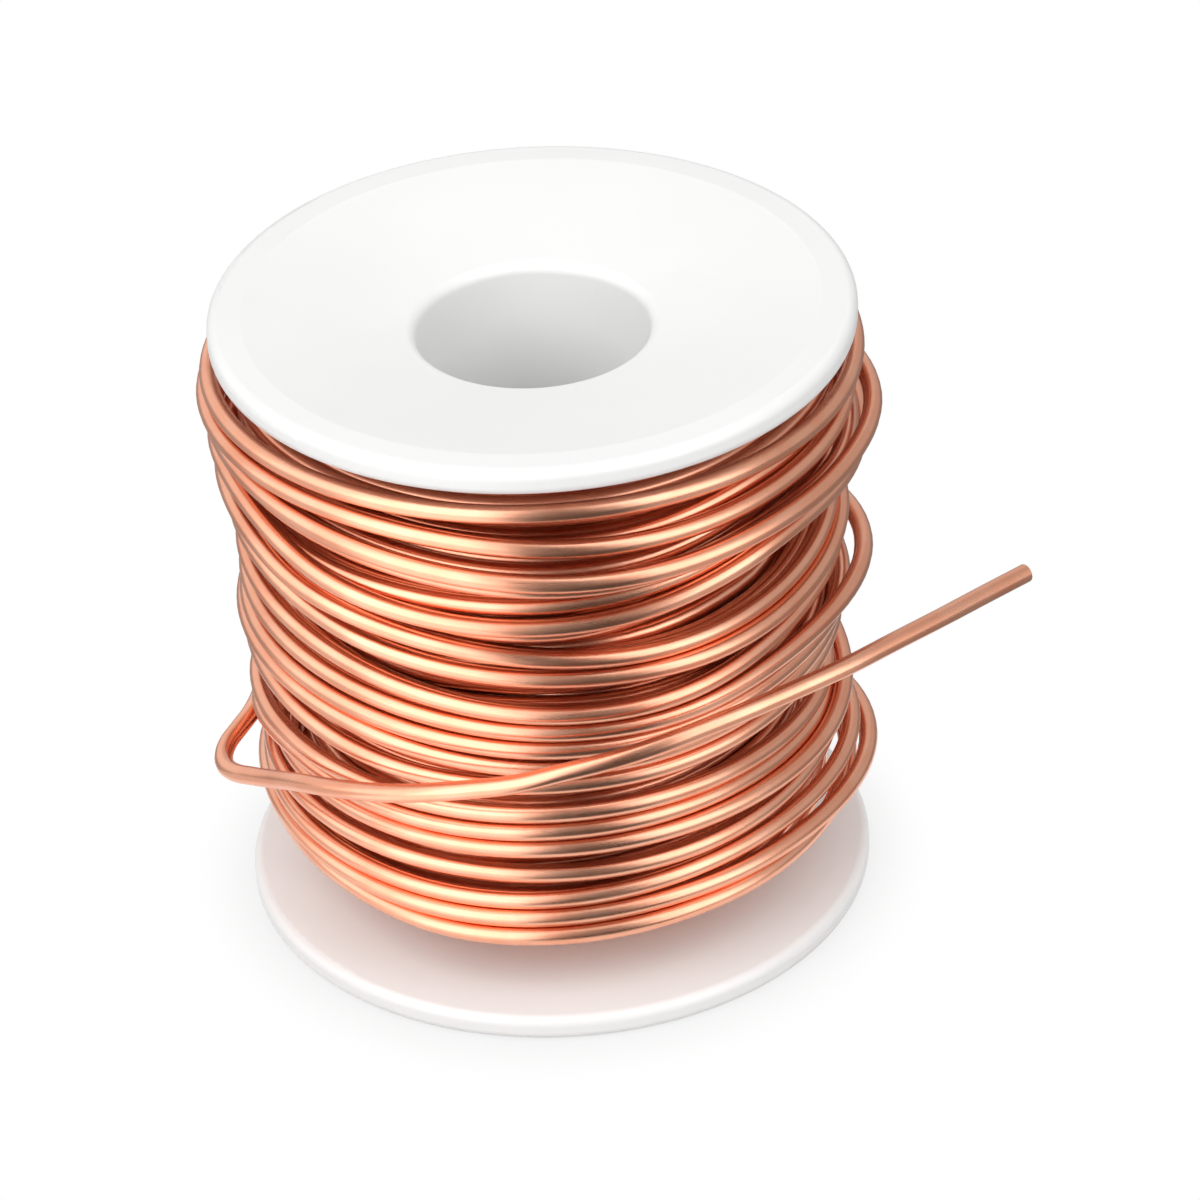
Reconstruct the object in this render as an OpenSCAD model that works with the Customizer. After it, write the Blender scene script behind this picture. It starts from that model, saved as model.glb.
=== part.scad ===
// Wire spool: a moulded plastic spool filled with bare round copper wire.
// The origin is the centre of the ring that the spool stands on, +Z runs up the bore, and the free
// end of the wire leaves towards +X, across the front (-Y).

/* [Spool] */
// Diameter of both flanges
flange_d = 55; // [48:0.5:56]
// Overall height, over both rims
spool_h = 57.5; // [50:0.5:70]
// Thickness of a flange at its rim
rim_t = 2.4; // [1.8:0.1:4]
// Rounding of the rim's two edges
rim_round = 0.9; // [0.3:0.1:0.9]
// Width of the flat ring on each rim, which the spool stands on
land_w = 2; // [1:0.1:4]
// Depth of the dish in the outer face of a flange, at the bore
dish_depth = 2.2; // [1.8:0.1:3.5]
// Thickness of a flange at the seat of the barrel, measured from the bottom of the dish
web_t = 2; // [1.5:0.1:4]

/* [Bore and barrel] */
// Diameter of the bore for the spindle
bore_d = 20; // [14:0.5:24]
// Rounding of the mouth of the bore
mouth_round = 1; // [0.4:0.1:1.5]
// Wall of the sleeve that each flange pushes into the barrel
sleeve_wall = 2; // [1.5:0.1:3]
// Length of each sleeve, from its flange
sleeve_l = 16; // [10:0.5:20]
// Chamfer on the end of a sleeve
sleeve_lead = 0.6; // [0.3:0.1:1]
// Wall of the barrel
barrel_wall = 1.5; // [1.2:0.1:2.5]
// Gap between a sleeve and the barrel, on the radius
sleeve_gap = 0.1; // [0.05:0.05:0.3]
// Height of the snap bead on a sleeve
snap_h = 0.4; // [0.2:0.05:0.5]
// Distance of the snap bead from the end of its sleeve
snap_inset = 4; // [2.5:0.5:6]

/* [Wire] */
// Diameter of the copper wire
wire_d = 1.63; // [1:0.01:2]
// Gap round the wire in the start hole of the lower flange, on the radius
start_gap = 0.3; // [0.2:0.05:0.6]
// Direction of the start hole round the axis, from +X towards +Y
start_angle = 60; // [0:5:355]
// Length of the starting end that shows under the lower flange
start_stub = 0.8; // [0.4:0.1:1]

/* [Winding] */
// Gap between the winding and the plastic that holds it
wind_gap = 0.2; // [0.1:0.05:0.5]
// Gap between neighbouring bundles of the winding
bundle_gap = 0.1; // [0.05:0.05:0.3]
// Depth of the outer bundles, from the rim in to the neat layers under them
bundle_depth = 4.9; // [4:0.1:6]
// How far the top bundle stands past the rim
top_overhang = 1; // [-1:0.1:1.5]
// How far the middle bundle stands past the rim
middle_overhang = 0.4; // [-1:0.1:1]
// How far the lower bundle stands past the rim
lower_overhang = -0.4; // [-2:0.1:0.4]
// How much narrower a bundle is at its edges than at its middle, on the radius
bundle_crown = 2.2; // [1:0.1:3]
// Height of the waist between the middle and top bundles
waist_z = 40.8; // [34:0.2:44]
// Height of the middle of the groove that the last turns lie in
groove_z = 20.5; // [18:0.5:24]
// Width of that groove
groove_w = 6.2; // [5.6:0.2:8]
// Height of the winding's lowest turn at its outer edge
low_edge_z = 8.5; // [7:0.5:10]
// Gap all round the last turns, which travel round the spool
turn_gap = 0.35; // [0.3:0.05:0.6]
// Depth of the last turns, on the radius
last_turns_t = 1.6; // [1:0.1:1.8]

/* [Hidden] */
$fn = 96;

plastic = "white";
copper = "peru";
flange_r = flange_d / 2;
bore_r = bore_d / 2;
sleeve_r = bore_r + sleeve_wall;
barrel_in_r = sleeve_r + sleeve_gap;
barrel_out_r = barrel_in_r + barrel_wall;
// The winding side of a flange is flat under the barrel, and falls from there to the rim.
seat_z = dish_depth + web_t;
seat_r = barrel_out_r + wind_gap;
rim_in_r = flange_r - rim_round;
land_in_r = rim_in_r - land_w;
sleeve_end_z = seat_z + sleeve_l;
snap_z = sleeve_end_z - snap_inset;
barrel_l = spool_h - 2 * seat_z;

wire_r = wire_d / 2;
core_wind_r = flange_r - bundle_depth;
bundle_in_r = core_wind_r + bundle_gap;
groove_low_z = groove_z - groove_w / 2;
groove_high_z = groove_z + groove_w / 2;
start_r = barrel_out_r + wind_gap + wire_r;
// How far a cut runs past the face that it opens
past = 1;
bulge_steps = 12;
tube_sides = 8;

// Free end of the wire, from where it lies in the groove at the back, out at the left, across the
// front and away to the right, where it is cut off bare.
tail_route = [
    [0, 25.6, 21.6], [-5, 25.1, 21.6], [-9.6, 23.8, 21.4], [-14, 21.4, 21.1], [-18, 18.2, 20.7],
    [-21.2, 14.4, 20.3], [-23.5, 10.2, 19.9], [-24.8, 6.2, 19.4], [-25.4, 2.9, 19],
    [-25.8, 0.3, 18.65], [-26.55, -1.6, 18.2], [-27.6, -3.4, 17.8], [-28.55, -5.2, 17.5],
    [-28.9, -7.1, 17.35], [-28.55, -8.95, 17.5], [-27.6, -10.65, 18], [-26.25, -12.4, 18.85],
    [-24.6, -14.6, 20], [-22.1, -18.2, 22], [-19.4, -21.6, 23.7], [-16.6, -24.3, 25],
    [-13.8, -26.3, 26], [-10.6, -27.9, 27], [-7, -28.9, 27.8], [-3.2, -29.5, 28.5],
    [0.6, -29.7, 29.5], [4.8, -29.4, 30.3], [8.9, -28.5, 31], [12.4, -27.2, 31.5],
    [16, -25.6, 31.9], [20, -23.4, 32.2], [24.8, -20.5, 32.5], [29, -17.3, 32.6],
    [33.2, -14, 32.6], [37, -10.9, 32.6], [41, -7.7, 32.6]
];

// Height of the lower flange's winding side at a radius
function web_top_z(r) =
    r < seat_r ? seat_z : seat_z - (seat_z - rim_t) * (r - seat_r) / (rim_in_r - seat_r);

// Underside of the winding, which rises from the barrel to the lowest outer turn
function under_z(r) =
    let (low = seat_z + wind_gap)
    low + (low_edge_z - low) * (r - barrel_out_r) / (flange_r - barrel_out_r);

// Points of a bundle's rounded outer side, from its low edge to its high edge
function bulge(low, high, crest) =
    [for (i = [0 : bulge_steps])
        let (s = 2 * i / bulge_steps - 1)
        [crest - bundle_crown * s * s, low + (high - low) * i / bulge_steps]];

function unit(v) = v / norm(v);

// Direction of a route at one of its points
function heading(route, i) =
    unit(route[min(i + 1, len(route) - 1)] - route[max(i - 1, 0)]);

// Ring of tube points round a place, square to its direction
function ring(place, along, r) =
    let (side = unit(cross(along, [0, 0, 1])), top = cross(side, along))
    [for (k = [0 : tube_sides - 1])
        place + r * (cos(360 * k / tube_sides) * side + sin(360 * k / tube_sides) * top)];

// Round tube along a list of points
module tube(route, r) {
    rings = len(route);
    points = [for (i = [0 : rings - 1]) each ring(route[i], heading(route, i), r)];
    sides = [for (i = [0 : rings - 2], k = [0 : tube_sides - 1])
        let (n = (k + 1) % tube_sides, a = i * tube_sides, b = a + tube_sides)
        [a + k, b + k, b + n, a + n]];
    first_end = [for (k = [0 : tube_sides - 1]) k];
    last_end = [for (k = [tube_sides - 1 : -1 : 0]) (rings - 1) * tube_sides + k];
    polyhedron(points, concat([first_end], sides, [last_end]));
}

// Half section of a flange with its sleeve, standing on its outer face
module flange_section() {
    polygon([
        [bore_r, dish_depth + mouth_round], [bore_r + mouth_round, dish_depth],
        [land_in_r, 0], [rim_in_r, 0], [flange_r, rim_round], [flange_r, rim_t - rim_round],
        [rim_in_r, rim_t], [seat_r, seat_z], [sleeve_r, seat_z],
        [sleeve_r, sleeve_end_z - sleeve_lead], [sleeve_r - sleeve_lead, sleeve_end_z],
        [bore_r, sleeve_end_z]
    ]);
    translate([bore_r + mouth_round, dish_depth + mouth_round])
        circle(mouth_round);
    for (z = [rim_round, rim_t - rim_round])
        translate([rim_in_r, z])
            circle(rim_round);
    snap_section(sleeve_r, 0);
}

// Half section of a snap bead that stands on a wall, or of its groove with a gap
module snap_section(wall_r, gap) {
    polygon([
        [wall_r - snap_h, snap_z - 2 * snap_h - gap], [wall_r, snap_z - 2 * snap_h - gap],
        [wall_r + snap_h + gap, snap_z - snap_h / 2 - gap],
        [wall_r + snap_h + gap, snap_z + snap_h / 2 + gap],
        [wall_r, snap_z + 2 * snap_h + gap], [wall_r - snap_h, snap_z + 2 * snap_h + gap]
    ]);
}

module flange() {
    rotate_extrude()
        flange_section();
}

module upper_flange() {
    color(plastic)
        translate([0, 0, spool_h])
            mirror([0, 0, 1])
                flange();
}

module lower_flange() {
    color(plastic)
        difference() {
            flange();
            rotate([0, 0, start_angle])
                translate([start_r, 0, -past])
                    cylinder(r = wire_r + start_gap, h = seat_z + 2 * past);
        }
}

module barrel() {
    color(plastic)
        difference() {
            translate([0, 0, seat_z])
                cylinder(r = barrel_out_r, h = barrel_l);
            translate([0, 0, seat_z - past])
                cylinder(r = barrel_in_r, h = barrel_l + 2 * past);
            for (up = [0, 1])
                translate([0, 0, up * spool_h])
                    mirror([0, 0, up])
                        rotate_extrude()
                            snap_section(sleeve_r, sleeve_gap);
        }
}

// Neat first layers, from the barrel out to the floor of the groove
module inner_winding() {
    in_r = barrel_out_r + bundle_gap;
    color(copper)
        rotate_extrude()
            polygon([
                [in_r, under_z(in_r)], [core_wind_r, under_z(core_wind_r)],
                [core_wind_r, spool_h - web_top_z(core_wind_r) - wind_gap],
                [seat_r, spool_h - seat_z - wind_gap], [in_r, spool_h - seat_z - wind_gap]
            ]);
}

module bundle(low, high, overhang, in_low) {
    color(copper)
        rotate_extrude()
            polygon(concat(
                [[bundle_in_r, in_low]],
                bulge(low, high, flange_r + overhang),
                [[bundle_in_r, high]]
            ));
}

module lower_bundle() {
    bundle(low_edge_z, groove_low_z, lower_overhang, under_z(bundle_in_r));
}

module middle_bundle() {
    bundle(groove_high_z, waist_z - bundle_gap / 2, middle_overhang, groove_high_z);
}

module top_bundle() {
    low = waist_z + bundle_gap / 2;
    high = spool_h - web_top_z(bundle_in_r) - wind_gap;
    bundle(low, high, top_overhang, low);
}

// Starting end of the wire, which comes out through the lower flange
module wire_start() {
    low = dish_depth * (land_in_r - start_r) / (land_in_r - bore_r - mouth_round) - start_stub;
    color(copper)
        rotate([0, 0, start_angle])
            translate([start_r, 0, low])
                cylinder(r = wire_r, h = under_z(start_r - wire_r) - bundle_gap - low);
}

// Last turns before the free end, loose in the groove
module last_turns() {
    in_r = core_wind_r + turn_gap;
    color(copper)
        rotate_extrude()
            translate([in_r, groove_low_z + turn_gap])
                square([last_turns_t, groove_w - 2 * turn_gap]);
}

module wire_tail() {
    color(copper)
        tube(tail_route, wire_r);
}

upper_flange();
lower_flange();
barrel();
inner_winding();
lower_bundle();
middle_bundle();
top_bundle();
wire_start();
last_turns();
wire_tail();
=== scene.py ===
"""Looks of a small spool of bare copper wire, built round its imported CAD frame."""
import math

import bpy
import numpy as np
from mathutils import Matrix, Vector


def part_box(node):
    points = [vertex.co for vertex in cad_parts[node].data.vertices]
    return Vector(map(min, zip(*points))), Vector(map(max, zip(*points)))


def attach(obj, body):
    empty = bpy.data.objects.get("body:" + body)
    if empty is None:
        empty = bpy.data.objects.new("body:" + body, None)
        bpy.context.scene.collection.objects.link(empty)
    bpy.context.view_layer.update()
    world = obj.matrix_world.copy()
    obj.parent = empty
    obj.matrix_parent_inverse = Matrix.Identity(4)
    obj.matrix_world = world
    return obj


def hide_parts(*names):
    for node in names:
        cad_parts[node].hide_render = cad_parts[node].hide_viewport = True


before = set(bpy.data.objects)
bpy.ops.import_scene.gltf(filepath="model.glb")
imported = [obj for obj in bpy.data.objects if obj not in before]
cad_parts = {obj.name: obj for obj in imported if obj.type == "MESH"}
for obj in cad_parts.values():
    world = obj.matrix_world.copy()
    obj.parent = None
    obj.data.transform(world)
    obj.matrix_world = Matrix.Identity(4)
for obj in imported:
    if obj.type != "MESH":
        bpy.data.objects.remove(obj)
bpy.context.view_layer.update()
scene = bpy.context.scene
scene.view_settings.view_transform = "Standard"

# Sizes of the object, in metres, as in the CAD source
MM = 0.001
FLANGE_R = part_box("upper_flange")[1].x
SPOOL_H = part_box("upper_flange")[1].z
WIRE_D = 1.63 * MM
WIRE_R = WIRE_D / 2
BARREL_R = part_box("barrel")[1].x
RIM_T = 2.4 * MM
WEB_IN_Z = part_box("barrel")[0].z
RIM_INSET = 0.9 * MM
RIM_IN_R = FLANGE_R - RIM_INSET
LOW_EDGE_RISE = 1.4 * MM
LOW_EDGE_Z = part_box("lower_bundle")[0].z + LOW_EDGE_RISE

# Camera of the photograph: a long lens, looking down at the spool from the front
CAMERA_ELEVATION = math.radians(33.16)
CAMERA_ROLL = math.radians(-2.9)
CAMERA_DISTANCE = 507.3 * MM
CAMERA_TARGET = Vector((4.5 * MM, 0, 27 * MM))
CAMERA_LENS = 174.6
SENSOR_WIDTH = 36


def make_camera():
    """Camera that looks at the target from the front, rolled a little."""
    data = bpy.data.cameras.new("camera")
    data.sensor_width = SENSOR_WIDTH
    data.lens = CAMERA_LENS
    data.clip_start = 0.01
    data.clip_end = 100
    camera = bpy.data.objects.new("camera", data)
    back = Vector((0, -math.cos(CAMERA_ELEVATION), math.sin(CAMERA_ELEVATION)))
    right = Vector((1, 0, 0))
    up = back.cross(right)
    level = Matrix((right, up, back)).transposed()
    turned = level @ Matrix.Rotation(CAMERA_ROLL, 3, "Z")
    camera.matrix_world = Matrix.Translation(CAMERA_TARGET + back * CAMERA_DISTANCE) @ turned.to_4x4()
    scene.collection.objects.link(camera)
    scene.camera = camera


make_camera()


# Wire as a round tube
def tube(name, path, radius, sides):
    """Mesh object of a round wire along a list of points, with closed ends."""
    path = np.asarray(path, float)
    count = len(path)
    radii = np.broadcast_to(radius, count)[:, None, None]
    along = np.gradient(path, axis=0)
    along /= np.linalg.norm(along, axis=1)[:, None]
    side = np.cross(along, (0, 0, 1))
    side /= np.linalg.norm(side, axis=1)[:, None]
    top = np.cross(side, along)
    turn = np.arange(sides) * 2 * np.pi / sides
    rings = path[:, None] + radii * (
        np.cos(turn)[None, :, None] * side[:, None] + np.sin(turn)[None, :, None] * top[:, None]
    )
    row = np.arange(count - 1)[:, None] * sides
    here = np.arange(sides)[None, :]
    after = (here + 1) % sides
    quads = np.stack([row + here, row + after, row + sides + after, row + sides + here], -1).reshape(-1, 4)
    first_end = list(range(sides))[::-1]
    last_end = [(count - 1) * sides + k for k in range(sides)]
    mesh = bpy.data.meshes.new(name)
    mesh.from_pydata(rings.reshape(-1, 3).tolist(), [], quads.tolist() + [first_end, last_end])
    length = np.concatenate([[0], np.cumsum(np.linalg.norm(np.diff(path, axis=0), axis=1))])
    u = np.stack([length[:-1], length[:-1], length[1:], length[1:]], -1)
    u = np.broadcast_to(u[:, None, :], (count - 1, sides, 4))
    v = np.stack([here, here + 1, here + 1, here], -1) / sides
    v = np.broadcast_to(v, (count - 1, sides, 4))
    ends = np.zeros((2 * sides, 2))
    uv = np.concatenate([np.stack([u, v], -1).reshape(-1, 2), ends])
    layer = mesh.uv_layers.new(name="along_and_round")
    layer.data.foreach_set("uv", uv.ravel())
    mesh.polygons.foreach_set("use_smooth", [True] * len(quads) + [False, False])
    edge_rings = np.empty(2 * len(mesh.edges), np.int32)
    mesh.edges.foreach_get("vertices", edge_rings)
    edge_rings = edge_rings.reshape(-1, 2) // sides
    at_end = (edge_rings == 0).all(1) | (edge_rings == count - 1).all(1)
    mesh.edges.foreach_set("use_edge_sharp", at_end)
    obj = bpy.data.objects.new(name, mesh)
    scene.collection.objects.link(obj)
    return obj


def through(points, per_gap):
    """Smooth curve through a list of points (Catmull-Rom), with some steps to each gap."""
    p = np.asarray(points, float)
    p = np.concatenate([[2 * p[0] - p[1]], p, [2 * p[-1] - p[-2]]])
    t = (np.arange(per_gap) / per_gap)[:, None]
    curve = []
    for a, b, c, d in zip(p[:-3], p[1:-2], p[2:-1], p[3:]):
        curve.append(
            b + 0.5 * t * (c - a + t * (2 * a - 5 * b + 4 * c - d + t * (3 * (b - c) + d - a)))
        )
    return np.concatenate(curve + [p[-2:-1]])


# Free end of the wire: out of its groove at the left, across the front and away to the right
TAIL_ROUTE = [
    (0, 0.0256, 0.0216), (-0.005, 0.0251, 0.0216), (-0.0096, 0.0238, 0.0214),
    (-0.014, 0.0214, 0.0211), (-0.018, 0.0182, 0.0207), (-0.0212, 0.0144, 0.0203),
    (-0.0235, 0.0102, 0.0199), (-0.0248, 0.0062, 0.0194), (-0.0254, 0.0029, 0.019),
    (-0.0258, 0.0003, 0.01865), (-0.02655, -0.0016, 0.0182), (-0.0276, -0.0034, 0.0178),
    (-0.02855, -0.0052, 0.0175), (-0.0289, -0.0071, 0.01735), (-0.02855, -0.00895, 0.0175),
    (-0.0276, -0.01065, 0.018), (-0.02625, -0.0124, 0.01885), (-0.0246, -0.0146, 0.02),
    (-0.0221, -0.0182, 0.022), (-0.0194, -0.0216, 0.0237), (-0.0166, -0.0243, 0.025),
    (-0.0138, -0.0263, 0.026), (-0.0106, -0.0279, 0.027), (-0.007, -0.0289, 0.0278),
    (-0.0032, -0.0295, 0.0285), (0.0006, -0.0297, 0.0295), (0.0048, -0.0294, 0.0303),
    (0.0089, -0.0285, 0.031), (0.0124, -0.0272, 0.0315), (0.016, -0.0256, 0.0319),
    (0.02, -0.0234, 0.0322), (0.0248, -0.0205, 0.0325), (0.029, -0.0173, 0.0326),
    (0.0332, -0.014, 0.0326), (0.037, -0.0109, 0.0326), (0.041, -0.0077, 0.0326),
]
TAIL_STEPS = 6
VISIBLE_SIDES = 14

tail_path = through(TAIL_ROUTE, TAIL_STEPS)
wire_tail = tube("free_wire_end", tail_path, WIRE_R, VISIBLE_SIDES)
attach(wire_tail, "free_end")
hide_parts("wire_tail")

# Winding. A wire is a list of heights, one for each step round the spool, counted from the back
# through the left, front and right. Its radius follows from what it lies on.
TURN_STEPS = 120
STEP_DEG = 360 / TURN_STEPS
TIGHT_DEG = 3
TIGHT_PASSES = 1
STIFF_DEG = 8
STIFF_PASSES = 6
KINK_DEG = 2.5
LAYER_WAVE_DEG = 28
ROW_WAVE_DEG = 25
LEAD_STEPS = TURN_STEPS // 4
SINK_STEPS = TURN_STEPS // 8
rng = np.random.default_rng(7)


def soften(values, sigma_deg):
    """Values along a wire, evened out over some degrees."""
    sigma = sigma_deg / STEP_DEG
    reach = int(3 * sigma) + 1
    offsets = np.arange(-reach, reach + 1)
    kernel = np.exp(-0.5 * (offsets / sigma) ** 2)
    padded = np.pad(values, reach, mode="edge")
    return np.convolve(padded, kernel / kernel.sum(), mode="valid")


def step_angles(count):
    """Angle of each step about the spool's axis: the first is at the back, the next towards the left."""
    return np.pi / 2 + np.radians(np.arange(count) * STEP_DEG)


def seat(z, steps, laid, floor_r):
    """Least radius at which wire at these heights clears the core and the turns laid before."""
    r = np.full(len(z), floor_r)
    if laid:
        bins = steps % TURN_STEPS
        laid_z = np.array([t[0] for t in laid])[:, bins]
        laid_r = np.array([t[1] for t in laid])[:, bins]
        apart = np.abs(laid_z - z)
        rise = np.sqrt(np.clip(WIRE_D**2 - apart**2, 0, None))
        r = np.maximum(r, np.where(apart < WIRE_D, laid_r + rise, 0).max(axis=0))
    return r


def lay(z, laid, floor_r, bend_deg, passes):
    """Radius along a wire that is pulled tight onto what lies under it; adds its turns to laid."""
    count = len(z)
    r = np.zeros(count)
    for first in range(0, count, TURN_STEPS):
        last = min(first + TURN_STEPS, count)
        start = max(first - LEAD_STEPS, 0)
        end = min(last + LEAD_STEPS, count)
        steps = np.arange(start, end)
        tight = seat(z[steps], steps, laid, floor_r)
        held = first - start
        tight[:held] = r[start:first]
        bent = tight.copy()
        for _ in range(passes):
            bent = np.maximum(tight, soften(bent, bend_deg))
        bent[:held] = r[start:first]
        bent = soften(bent, KINK_DEG)
        r[first:last] = bent[held:held + last - first]
        whole = np.arange(first, first + TURN_STEPS)
        padded = np.minimum(whole, last - 1)
        present = whole < last
        laid.append((np.where(present, z[padded], -1), r[padded]))
    return soften(r, KINK_DEG)


def wire_points(z, r):
    """Points along a wire, from its height and radius at each step."""
    angle = step_angles(len(z))
    return np.stack([r * np.cos(angle), r * np.sin(angle), z], -1)


def web_z(r):
    """Height of the lower flange's winding side at a radius."""
    share = (r - BARREL_R) / (RIM_IN_R - BARREL_R)
    return WEB_IN_Z - (WEB_IN_Z - RIM_T) * min(max(share, 0), 1)


def under_z(r):
    """Underside of the winding, which rises from the barrel to the lowest outer turn."""
    return WEB_IN_Z + (LOW_EDGE_Z - WEB_IN_Z) * (r - BARREL_R) / (FLANGE_R - BARREL_R)


def layer(low, high, pitch, upwards, wobble):
    """Heights of one layer that is traversed from end to end, with an uneven hand."""
    turns = max(int(round((high - low) / pitch)), 1)
    count = turns * TURN_STEPS
    z = np.linspace(low, high, count)
    if not upwards:
        z = z[::-1]
    waves = soften(rng.normal(size=count), LAYER_WAVE_DEG)
    return np.clip(z + wobble * waves / waves.std(), low, high)


def eased(steps):
    """Shares from 0 to 1, gentle at both ends."""
    share = np.linspace(0, 1, steps)
    return share * share * (3 - 2 * share)


def sink_end(path, r, z):
    """Lead the end of a path in between the turns below it, to a radius and a height."""
    flat = path[-1, :2]
    target = np.append(flat * r / np.hypot(*flat), z)
    path[-SINK_STEPS:] += eased(SINK_STEPS)[:, None] * (target - path[-1])


# Inner layers, out to the floor of the groove. They hardly show, so their mesh is coarser.
INNER_LAYERS = 5
INNER_PITCH = 1.75 * MM
LAYER_RISE = 1.6 * MM
WOBBLE = 0.08 * MM
CORE_GAP = 0.05 * MM
FLANGE_GAP = 0.2 * MM
INNER_SINK_R = 17.5 * MM
INNER_SINK_Z = 51 * MM
HIDDEN_SIDES = 8
HIDDEN_STRIDE = 2
laid_inner = []
inner_z = []
for k in range(INNER_LAYERS):
    layer_r = BARREL_R + WIRE_R + k * LAYER_RISE
    low = under_z(layer_r) + WIRE_R
    high = SPOOL_H - web_z(layer_r) - WIRE_R - FLANGE_GAP
    inner_z.append(layer(low, high, INNER_PITCH, k % 2 == 0, WOBBLE))
inner_z = np.concatenate(inner_z)
inner_r = lay(inner_z, laid_inner, BARREL_R + WIRE_R + CORE_GAP, TIGHT_DEG, TIGHT_PASSES)
inner_path = wire_points(inner_z, inner_r)
sink_end(inner_path, INNER_SINK_R, INNER_SINK_Z)
inner = tube("inner_winding_wire", inner_path[::HIDDEN_STRIDE], WIRE_R, HIDDEN_SIDES)
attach(inner, "spool")
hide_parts("inner_winding")

# Outer turns. Each gives its height in mm at these angles round the front, from the left to the
# right, and goes round the back to the next. The shown turns follow the photograph, and lie on rows
# of hidden turns that were wound before them.
FRONT_ANGLES = (-75, -50, -25, 0, 25, 50, 75)
TOP_ROWS = [
    (41.2, 41.0, 40.0, 38.6, 39.8, 43.6, 42.2),
    (43.0, 43.0, 42.4, 41.9, 42.4, 45.2, 44.0),
    (44.9, 44.7, 44.4, 43.9, 44.0, 46.8, 46.0),
    (47.9, 47.5, 46.7, 45.8, 45.9, 48.4, 48.0),
    (49.8, 49.6, 49.2, 48.5, 48.4, 50.0, 49.8),
    (51.9, 51.8, 51.7, 51.6, 51.5, 51.7, 51.7),
]
TOP_TURNS = [
    (42.2, 42.2, 41.0, 39.4, 40.8, 44.6, 43.0),
    (43.9, 43.8, 43.4, 42.9, 43.3, 45.9, 44.2),
    (48.0, 47.6, 46.6, 44.9, 44.9, 46.8, 45.0),
    (46.8, 44.4, 42.0, 41.2, 42.0, 45.2, 43.6),
    (49.3, 48.7, 47.9, 46.6, 46.3, 47.4, 47.6),
    (51.1, 50.8, 50.4, 49.2, 48.7, 49.0, 50.0),
    (53.0, 52.9, 52.7, 52.5, 52.3, 52.3, 52.2),
]
MIDDLE_ROWS = [
    (26.2, 25.0, 24.5, 24.5, 24.5, 25.0, 26.0),
    (28.0, 27.0, 26.3, 26.1, 26.1, 26.7, 27.7),
    (29.8, 28.9, 28.2, 27.8, 27.8, 28.5, 29.5),
    (31.8, 30.7, 30.0, 29.4, 29.4, 30.3, 31.2),
    (34.2, 33.0, 32.0, 31.2, 31.3, 32.3, 33.4),
    (36.6, 35.8, 34.9, 34.1, 33.9, 34.5, 35.6),
    (38.9, 38.7, 37.8, 36.4, 35.7, 36.2, 37.0),
]
MIDDLE_TURNS = [
    (43.7, 41.0, 39.0, 37.5, 36.6, 36.9, 38.0),
    (40.4, 37.9, 36.1, 35.2, 35.0, 35.6, 37.0),
    (37.0, 34.7, 33.1, 32.1, 32.4, 33.4, 34.6),
    (33.2, 31.8, 30.9, 30.2, 30.2, 31.2, 32.2),
    (30.9, 29.9, 29.2, 28.4, 28.4, 29.4, 30.2),
    (29.2, 28.2, 27.3, 26.3, 26.4, 27.4, 28.4),
    (27.0, 25.4, 24.5, 24.5, 24.6, 25.4, 26.6),
]
LOWER_ROWS = [
    (9.8, 9.4, 8.7, 8.6, 9.3, 9.6, 10.0),
    (11.7, 11.2, 10.5, 10.4, 11.0, 11.3, 11.8),
    (13.5, 13.0, 12.3, 12.2, 12.8, 13.1, 13.6),
    (15.4, 15.2, 14.6, 14.3, 14.7, 14.9, 15.4),
]
LOWER_TURNS = [
    (16.5, 16.4, 16.1, 15.6, 15.6, 15.8, 16.3),
    (14.4, 13.9, 13.2, 13.1, 13.7, 14.0, 14.5),
    (12.6, 12.1, 11.4, 11.3, 11.9, 12.2, 12.7),
    (10.7, 10.3, 9.6, 9.5, 10.2, 10.5, 10.9),
]
PATH_EVEN_DEG = 12
ROW_WOBBLE = 0.12 * MM
BUNDLE_FLOOR_R = 23.1 * MM
SINK_R = 20.8 * MM


def chosen(turns, end=None):
    """Heights along listed turns, one after the other, to an end height at the back if given."""
    at = [360 * i + 180 + a for i in range(len(turns)) for a in FRONT_ANGLES]
    z = [h * MM for turn in turns for h in turn]
    if end is not None:
        at.append(360 * len(turns))
        z.append(end)
    steps = np.arange(len(turns) * TURN_STEPS) * STEP_DEG
    return soften(np.interp(steps, at, z), PATH_EVEN_DEG)


def bump(count, turn, front_angle, width_deg, height):
    """Slack that stands a turn off the winding about one angle."""
    centre = 360 * turn + 180 + front_angle
    away = (np.arange(count) * STEP_DEG - centre) / width_deg
    return height * np.exp(-0.5 * away**2)


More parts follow.
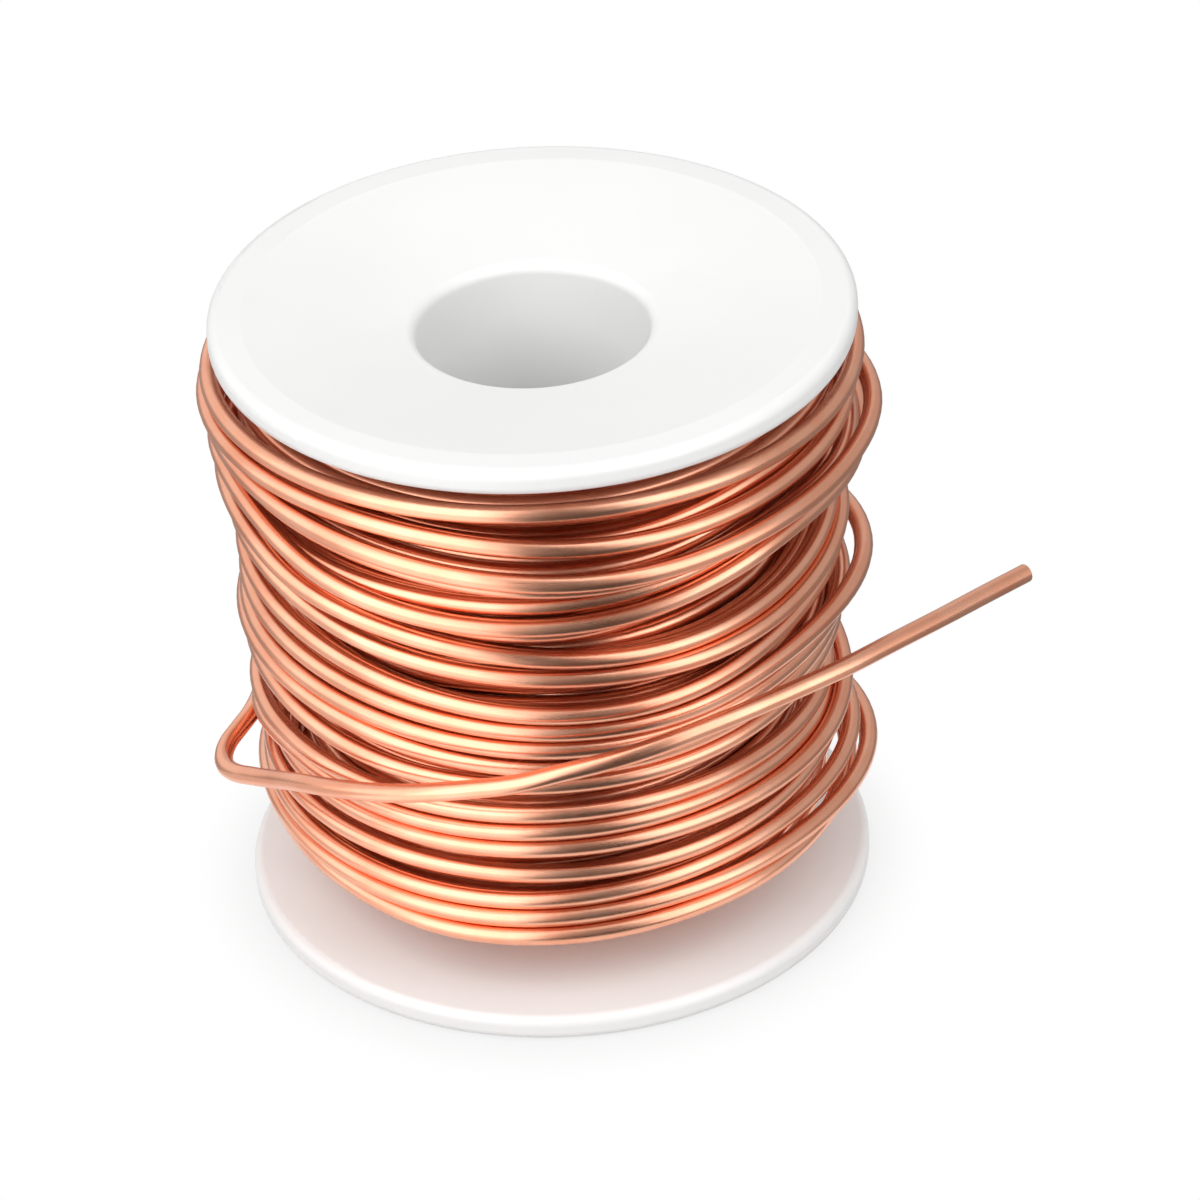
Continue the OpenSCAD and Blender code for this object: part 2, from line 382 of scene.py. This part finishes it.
class Bundle:
    """One bundle of outer turns: rows of hidden turns, and the turns that show on them."""

    def __init__(self, node, hidden, shown, slacks):
        self.node = node
        self.join = len(hidden) * TURN_STEPS
        self.z = chosen(hidden + shown)
        waves = soften(rng.normal(size=len(self.z)), ROW_WAVE_DEG)
        self.z += ROW_WOBBLE * waves / waves.std()
        self.slack = np.zeros(len(self.z))
        for turn, angle, width, height in slacks:
            self.slack += bump(len(self.z), len(hidden) + turn, angle, width, height * MM)

    def lay_hidden(self, laid):
        self.hidden_r = lay(self.z[:self.join], laid, BUNDLE_FLOOR_R, TIGHT_DEG, TIGHT_PASSES)

    def lay_shown(self, laid):
        shown_r = lay(self.z[self.join:], laid, BUNDLE_FLOOR_R, STIFF_DEG, STIFF_PASSES)
        r = soften(np.concatenate([self.hidden_r, shown_r]), KINK_DEG) + self.slack
        self.path = wire_points(self.z, r)

    def sink_ends(self, start_z, end_z, cut_steps):
        """Cut some steps off the end, and lead both ends in to these heights."""
        self.path = self.path[:len(self.path) - cut_steps]
        sink_end(self.path[::-1], SINK_R, start_z)
        sink_end(self.path, SINK_R, end_z)

    def make(self):
        self.obj = tube(self.node + "_wire", self.path, WIRE_R, VISIBLE_SIDES)
        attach(self.obj, "spool")
        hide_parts(self.node)


# Each slack is a shown turn, its angle and width round the front in degrees, and its height in mm
top = Bundle(
    "top_bundle", TOP_ROWS + TOP_ROWS[:2:-1], TOP_TURNS,
    [(4, -85, 35, 0.2), (5, -85, 35, 1.9), (6, -85, 35, 1.5),
     (4, 88, 18, 2.1), (6, 86, 30, 0.8)],
)
middle = Bundle(
    "middle_bundle", MIDDLE_ROWS, MIDDLE_TURNS,
    [(1, -85, 30, 1.6), (2, -85, 30, 1.1), (3, -90, 30, 1.2), (4, -90, 30, 1.1),
     (5, -85, 30, 0.8), (6, -80, 30, 0.9), (2, 84, 24, 0.6), (3, 88, 24, 3.0), (4, 84, 22, 0.7)],
)
lower = Bundle(
    "lower_bundle", LOWER_ROWS, LOWER_TURNS,
    [(0, -75, 25, 0.5), (1, 84, 24, 1.6), (2, 86, 24, 3.0), (3, 84, 22, 0.9)],
)
bundles = [top, middle, lower]
laid_outer = list(laid_inner)
for b in bundles[::-1]:
    b.lay_hidden(laid_outer)
for b in bundles:
    b.lay_shown(laid_outer)

# Heights at which each bundle starts and ends among the turns below, and steps cut off its end
top.sink_ends(41.2 * MM, 50.7 * MM, 0)
middle.sink_ends(26.2 * MM, 24.6 * MM, 18)
lower.sink_ends(9.8 * MM, 8.3 * MM, 9)
for b in bundles:
    b.make()

# Last turns, which lie in the groove and travel round with the free end
LAST_INNER_R = 23.85 * MM
LAST_TURNS = [
    (22.3, 22.3, 22.2, 22.2, 22.1, 21.8, 21.1),
    (20.3, 20.3, 20.3, 20.4, 20.4, 20.2, 19.4),
    (18.6, 18.6, 18.6, 18.6, 18.6, 18.7, 19.2),
]
LAST_SLACKS = [
    (0, -10, 45, 1.2), (1, -10, 45, 1.2), (2, -10, 45, 1.2),
    (0, -88, 25, 1.5), (1, -83, 11, 1.5),
]
JOIN_POINTS = 3
JOIN_R = 0.96 * WIRE_R
START_AREA = 0.01
last_z = chosen(LAST_TURNS, TAIL_ROUTE[0][2])
last_r = lay(last_z, [], LAST_INNER_R, STIFF_DEG, STIFF_PASSES)
for turn, angle, width, height in LAST_SLACKS:
    last_r += bump(len(last_r), turn, angle, width, height * MM)

# Their end runs on straight into the free end
tail_r = np.hypot(tail_path[:2, 0], tail_path[:2, 1])
tail_turn = np.diff(np.arctan2(tail_path[:2, 1], tail_path[:2, 0]))
before = np.radians(STEP_DEG) * np.arange(-SINK_STEPS, 0)
run_in_r = tail_r[0] + before * np.diff(tail_r) / tail_turn
run_in_z = tail_path[0, 2] + before * np.diff(tail_path[:2, 2]) / tail_turn
last_r[-SINK_STEPS:] += eased(SINK_STEPS) * (run_in_r - last_r[-SINK_STEPS:])
last_z[-SINK_STEPS:] += eased(SINK_STEPS) * (run_in_z - last_z[-SINK_STEPS:])

# Their start thins out on the floor of the groove, because it goes round and can't sink in
swell = np.ones(len(last_z))
swell[:SINK_STEPS] = np.sqrt(np.linspace(START_AREA, 1, SINK_STEPS))
last_r -= (1 - swell) * WIRE_R
last_path = np.concatenate([wire_points(last_z, last_r), tail_path[:JOIN_POINTS]])
last_radius = np.concatenate([swell * WIRE_R, [WIRE_R], np.full(JOIN_POINTS - 1, JOIN_R)])
last_turns = tube("last_turns_wire", last_path, last_radius, VISIBLE_SIDES)
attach(last_turns, "free_end")
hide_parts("last_turns")


# Materials
def new_material(name):
    material = bpy.data.materials.new(name)
    material.use_nodes = True
    return material, material.node_tree.nodes, material.node_tree.links


def copper_material():
    material, nodes, links = new_material("copper_wire")
    shader = nodes["Principled BSDF"]
    shader.inputs["Metallic"].default_value = 1.0
    uv = nodes.new("ShaderNodeUVMap")
    uv.uv_map = "along_and_round"
    stretch = nodes.new("ShaderNodeMapping")
    stretch.inputs["Scale"].default_value = (120, 14, 1)
    links.new(uv.outputs["UV"], stretch.inputs["Vector"])
    streaks = nodes.new("ShaderNodeTexNoise")
    streaks.inputs["Scale"].default_value = 1.0
    streaks.inputs["Detail"].default_value = 4.0
    links.new(stretch.outputs["Vector"], streaks.inputs["Vector"])
    place = nodes.new("ShaderNodeTexCoord")
    tarnish = nodes.new("ShaderNodeTexNoise")
    tarnish.inputs["Scale"].default_value = 260.0
    tarnish.inputs["Detail"].default_value = 3.0
    links.new(place.outputs["Object"], tarnish.inputs["Vector"])
    tint = nodes.new("ShaderNodeValToRGB")
    tint.color_ramp.elements[0].position = 0.3
    tint.color_ramp.elements[0].color = (0.91, 0.40, 0.25, 1)
    tint.color_ramp.elements[1].position = 0.7
    tint.color_ramp.elements[1].color = (0.95, 0.48, 0.32, 1)
    links.new(tarnish.outputs["Fac"], tint.inputs["Fac"])
    links.new(tint.outputs["Color"], shader.inputs["Base Color"])
    rough = nodes.new("ShaderNodeMapRange")
    rough.inputs["To Min"].default_value = 0.22
    rough.inputs["To Max"].default_value = 0.36
    links.new(streaks.outputs["Fac"], rough.inputs["Value"])
    links.new(rough.outputs["Result"], shader.inputs["Roughness"])
    relief = nodes.new("ShaderNodeBump")
    relief.inputs["Strength"].default_value = 0.12
    relief.inputs["Distance"].default_value = 0.02 * MM
    links.new(streaks.outputs["Fac"], relief.inputs["Height"])
    links.new(relief.outputs["Normal"], shader.inputs["Normal"])
    return material


def plastic_material():
    material, nodes, links = new_material("white_plastic")
    shader = nodes["Principled BSDF"]
    shader.inputs["IOR"].default_value = 1.49
    place = nodes.new("ShaderNodeTexCoord")
    cloud = nodes.new("ShaderNodeTexNoise")
    cloud.inputs["Scale"].default_value = 90.0
    cloud.inputs["Detail"].default_value = 3.0
    links.new(place.outputs["Object"], cloud.inputs["Vector"])
    tint = nodes.new("ShaderNodeValToRGB")
    tint.color_ramp.elements[0].color = (0.885, 0.885, 0.88, 1)
    tint.color_ramp.elements[1].color = (0.915, 0.915, 0.905, 1)
    links.new(cloud.outputs["Fac"], tint.inputs["Fac"])
    links.new(tint.outputs["Color"], shader.inputs["Base Color"])
    rough = nodes.new("ShaderNodeMapRange")
    rough.inputs["To Min"].default_value = 0.34
    rough.inputs["To Max"].default_value = 0.5
    links.new(cloud.outputs["Fac"], rough.inputs["Value"])
    links.new(rough.outputs["Result"], shader.inputs["Roughness"])
    grain = nodes.new("ShaderNodeTexNoise")
    grain.inputs["Scale"].default_value = 1800.0
    links.new(place.outputs["Object"], grain.inputs["Vector"])
    relief = nodes.new("ShaderNodeBump")
    relief.inputs["Strength"].default_value = 0.06
    relief.inputs["Distance"].default_value = 0.05 * MM
    links.new(grain.outputs["Fac"], relief.inputs["Height"])
    links.new(relief.outputs["Normal"], shader.inputs["Normal"])
    return material


def paint(obj, material):
    """Give an object its only material."""
    obj.data.materials.clear()
    obj.data.materials.append(material)


copper = copper_material()
plastic = plastic_material()
for obj in [inner, last_turns, wire_tail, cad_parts["wire_start"]] + [b.obj for b in bundles]:
    paint(obj, copper)
for name in ("upper_flange", "lower_flange", "barrel"):
    paint(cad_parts[name], plastic)


# Studio: a white floor that keeps the shadow, a white world, two large soft lamps, and cards that the
# copper reflects
CENTRE = Vector((0, 0, SPOOL_H / 2))
WORLD_LIGHT = 0.56
FLOOR_SIZE = 3.0
FLOOR_DROP = 0.05 * MM
SHADOW_NEAR_R = 0.012
SHADOW_FAR_R = 0.034
CARD_R = 1.0
CARD_LOW_DEG = -1.5
CARD_HIGH_DEG = 88
CARD_COLUMNS = 13
CARD_ROWS = 9
FLOOR_CARD_IN_R = 45 * MM
FLOOR_CARD_Z = 2 * MM


def seen_directly(nodes, links):
    """1 for what the camera, a reflection or a clear piece sees, and 0 for light on the object."""
    path = nodes.new("ShaderNodeLightPath")
    either = nodes.new("ShaderNodeMath")
    either.operation = "MAXIMUM"
    links.new(path.outputs["Is Camera Ray"], either.inputs[0])
    links.new(path.outputs["Is Glossy Ray"], either.inputs[1])
    every = nodes.new("ShaderNodeMath")
    every.operation = "MAXIMUM"
    links.new(either.outputs[0], every.inputs[0])
    links.new(path.outputs["Is Transmission Ray"], every.inputs[1])
    return every.outputs[0]


def make_world(light_level):
    """World that shows as white and lights the object at its own level."""
    world = bpy.data.worlds.new("studio")
    world.use_nodes = True
    scene.world = world
    nodes, links = world.node_tree.nodes, world.node_tree.links
    seen = seen_directly(nodes, links)
    level = nodes.new("ShaderNodeMapRange")
    level.inputs["To Min"].default_value = light_level
    level.inputs["To Max"].default_value = 1.0
    links.new(seen, level.inputs["Value"])
    links.new(level.outputs["Result"], nodes["Background"].inputs["Strength"])
    nodes["Background"].inputs["Color"].default_value = (1, 1, 1, 1)


def make_floor(size, near, far):
    """Floor that keeps the shadow near the object and fades to white further out."""
    mesh = bpy.data.meshes.new("floor")
    corners = [(-size, -size, 0), (size, -size, 0), (size, size, 0), (-size, size, 0)]
    mesh.from_pydata(corners, [], [(0, 1, 2, 3)])
    floor = bpy.data.objects.new("floor", mesh)
    floor.location.z = -FLOOR_DROP
    scene.collection.objects.link(floor)
    material, nodes, links = new_material("floor_white")
    shader = nodes["Principled BSDF"]
    shader.inputs["Base Color"].default_value = (0.6, 0.6, 0.6, 1)
    shader.inputs["Roughness"].default_value = 0.9
    shader.inputs["Specular IOR Level"].default_value = 0.1
    glow = nodes.new("ShaderNodeEmission")
    place = nodes.new("ShaderNodeTexCoord")
    distance = nodes.new("ShaderNodeVectorMath")
    distance.operation = "LENGTH"
    links.new(place.outputs["Object"], distance.inputs[0])
    fade = nodes.new("ShaderNodeMapRange")
    fade.interpolation_type = "SMOOTHSTEP"
    fade.inputs["From Min"].default_value = near
    fade.inputs["From Max"].default_value = far
    links.new(distance.outputs["Value"], fade.inputs["Value"])
    share = nodes.new("ShaderNodeMath")
    share.operation = "MULTIPLY"
    links.new(fade.outputs["Result"], share.inputs[0])
    links.new(seen_directly(nodes, links), share.inputs[1])
    mix = nodes.new("ShaderNodeMixShader")
    links.new(share.outputs[0], mix.inputs["Fac"])
    links.new(shader.outputs["BSDF"], mix.inputs[1])
    links.new(glow.outputs["Emission"], mix.inputs[2])
    links.new(mix.outputs["Shader"], nodes["Material Output"].inputs["Surface"])
    mesh.materials.append(material)


def direction(front_angle, elevation):
    """Unit vector towards a place round the front: 0 is towards the camera, positive to the right."""
    a, e = math.radians(front_angle), math.radians(elevation)
    return Vector((math.sin(a) * math.cos(e), -math.cos(a) * math.cos(e), math.sin(e)))


def place_towards_centre(obj, front_angle, elevation, distance):
    away = direction(front_angle, elevation)
    obj.location = CENTRE + away * distance
    obj.rotation_mode = "QUATERNION"
    obj.rotation_quaternion = away.to_track_quat("Z", "Y")


def softbox(name, front_angle, elevation, distance, width, height, brightness):
    """Area lamp whose face has a given brightness, where 1 renders as white."""
    data = bpy.data.lights.new(name, "AREA")
    data.shape = "RECTANGLE"
    data.size = width
    data.size_y = height
    data.energy = brightness * math.pi * width * height
    lamp = bpy.data.objects.new(name, data)
    lamp.visible_glossy = False
    scene.collection.objects.link(lamp)
    place_towards_centre(lamp, front_angle, elevation, distance)


def reflected_only(obj, brightness):
    """Give a card an even brightness that only reflections see."""
    material, nodes, links = new_material(obj.name)
    glow = nodes.new("ShaderNodeEmission")
    glow.inputs["Strength"].default_value = brightness
    links.new(glow.outputs["Emission"], nodes["Material Output"].inputs["Surface"])
    obj.data.materials.append(material)
    obj.visible_camera = False
    obj.visible_diffuse = False
    obj.visible_transmission = False
    obj.visible_shadow = False


def sheet_mesh(name, rows):
    """Mesh object through a grid of points, given row by row."""
    wide = len(rows[0])
    faces = [
        (j * wide + i, j * wide + i + 1, (j + 1) * wide + i + 1, (j + 1) * wide + i)
        for j in range(len(rows) - 1) for i in range(wide - 1)
    ]
    mesh = bpy.data.meshes.new(name)
    mesh.from_pydata([p for row in rows for p in row], [], faces)
    obj = bpy.data.objects.new(name, mesh)
    scene.collection.objects.link(obj)
    return obj


def card(name, from_angle, to_angle, brightness):
    """Curved card round the object."""
    columns = np.linspace(from_angle, to_angle, CARD_COLUMNS)
    rows = [
        [CENTRE + CARD_R * direction(a, e) for a in columns]
        for e in np.linspace(CARD_LOW_DEG, CARD_HIGH_DEG, CARD_ROWS)
    ]
    reflected_only(sheet_mesh(name, rows), brightness)


def floor_card(name, from_angle, to_angle, brightness):
    """Flat part of a ring just above the floor."""
    angles = np.linspace(from_angle, to_angle, CARD_COLUMNS)
    rows = [
        [r * direction(a, 0) + Vector((0, 0, FLOOR_CARD_Z)) for a in angles]
        for r in (FLOOR_CARD_IN_R, CARD_R)
    ]
    reflected_only(sheet_mesh(name, rows), brightness)


make_world(WORLD_LIGHT)
make_floor(FLOOR_SIZE, SHADOW_NEAR_R, SHADOW_FAR_R)
softbox(
    "softbox_left", front_angle=-42, elevation=42, distance=0.7,
    width=0.6, height=0.6, brightness=2.3,
)
softbox(
    "softbox_right", front_angle=48, elevation=42, distance=0.7,
    width=0.45, height=0.55, brightness=1.9,
)

# Each card covers some angles round the object, with its brightness above the floor and on it
CARDS = [
    ("far_left", -165, -100, 0.95, 0.4),
    ("left", -100, -60, 1.65, 0.75),
    ("near_left", -60, -10, 2.6, 1.6),
    ("front", -10, 30, 0.06, 0.06),
    ("right", 30, 66, 2.4, 0.6),
    ("far_right", 66, 155, 0.55, 0.3),
    ("back", 155, 195, 0.7, 0.4),
]
for name, from_angle, to_angle, above, below in CARDS:
    card("card_" + name, from_angle, to_angle, above)
    floor_card("floor_card_" + name, from_angle, to_angle, below)
